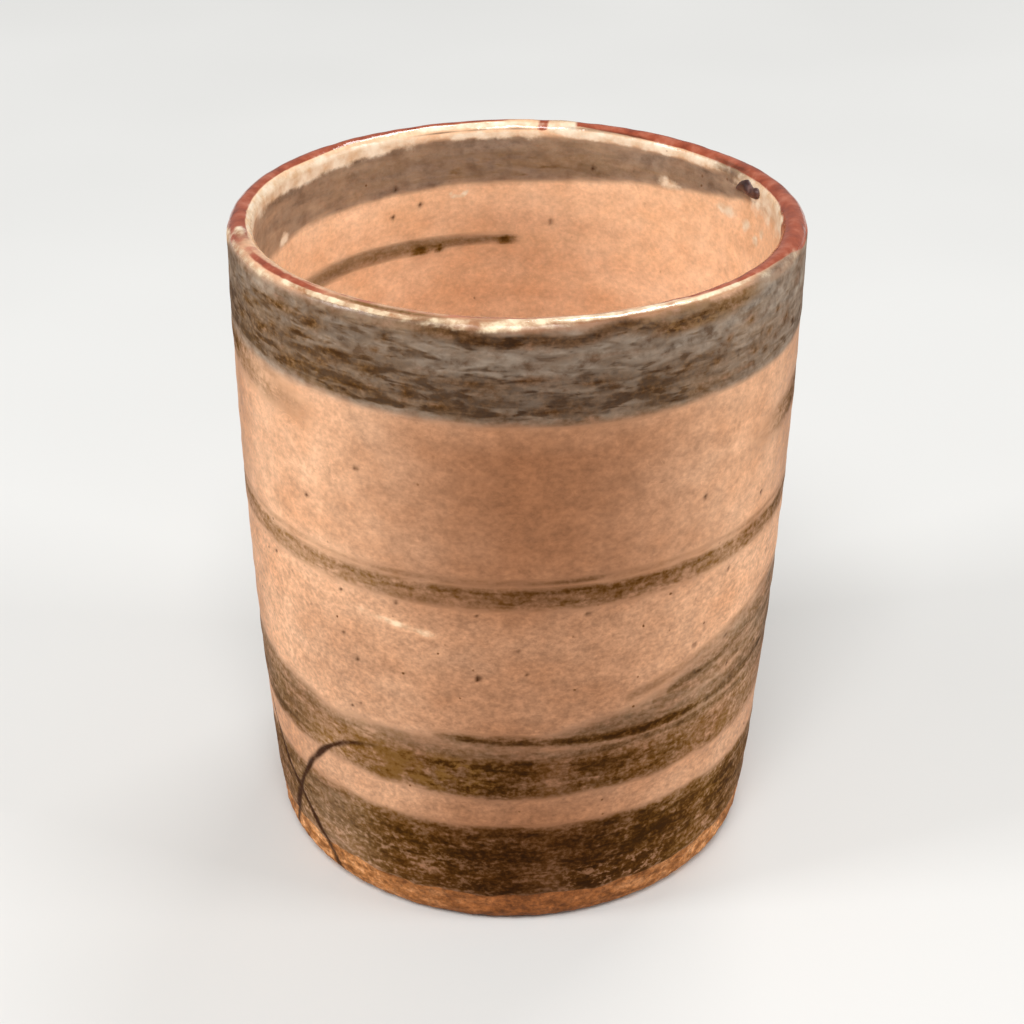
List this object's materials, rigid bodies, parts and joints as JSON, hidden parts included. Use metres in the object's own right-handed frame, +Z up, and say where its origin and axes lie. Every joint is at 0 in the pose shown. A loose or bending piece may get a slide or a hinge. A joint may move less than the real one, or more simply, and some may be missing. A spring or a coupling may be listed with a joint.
{
  "type": "tea cup",
  "caption": "Hand-thrown cylindrical stoneware tea cup with no handle, a rounded iron lip, a glazed inside and brushed iron bands; it stands on a trimmed foot ring.",
  "frame": {"origin": "centre of the foot ring on the table plane", "axes": "+Z up along the cup's axis, -Y towards the side that the picture shows, +X to the right of it"},
  "size_m": [0.0749, 0.0746, 0.09],
  "materials": {
    "stoneware_clay": "bare, fired and gritty",
    "pale_glaze": "semi-gloss, finely speckled",
    "liner_glaze": "semi-gloss, smooth",
    "iron_lip": "glossy, thin over the edge",
    "grey_slip": "semi-gloss, brushed and mottled",
    "brown_slip": "semi-gloss, thin brush wash",
    "dark_slip": "satin, streaked by the brush",
    "pooled_slip": "glossy, thick drop"
  },
  "bodies": {
    "root": {"clay_body": "stoneware_clay", "outer_glaze": "pale_glaze", "inner_glaze": "liner_glaze", "lip_glaze": "iron_lip", "upper_band": "grey_slip", "waist_line": "brown_slip", "waist_band": "brown_slip", "lower_veil": "brown_slip", "lower_band": "dark_slip", "base_band": "dark_slip", "shoulder_stroke": "brown_slip", "inner_band": "grey_slip", "inner_stroke": "brown_slip", "slip_drop": "pooled_slip"}
  },
  "joints": []
}
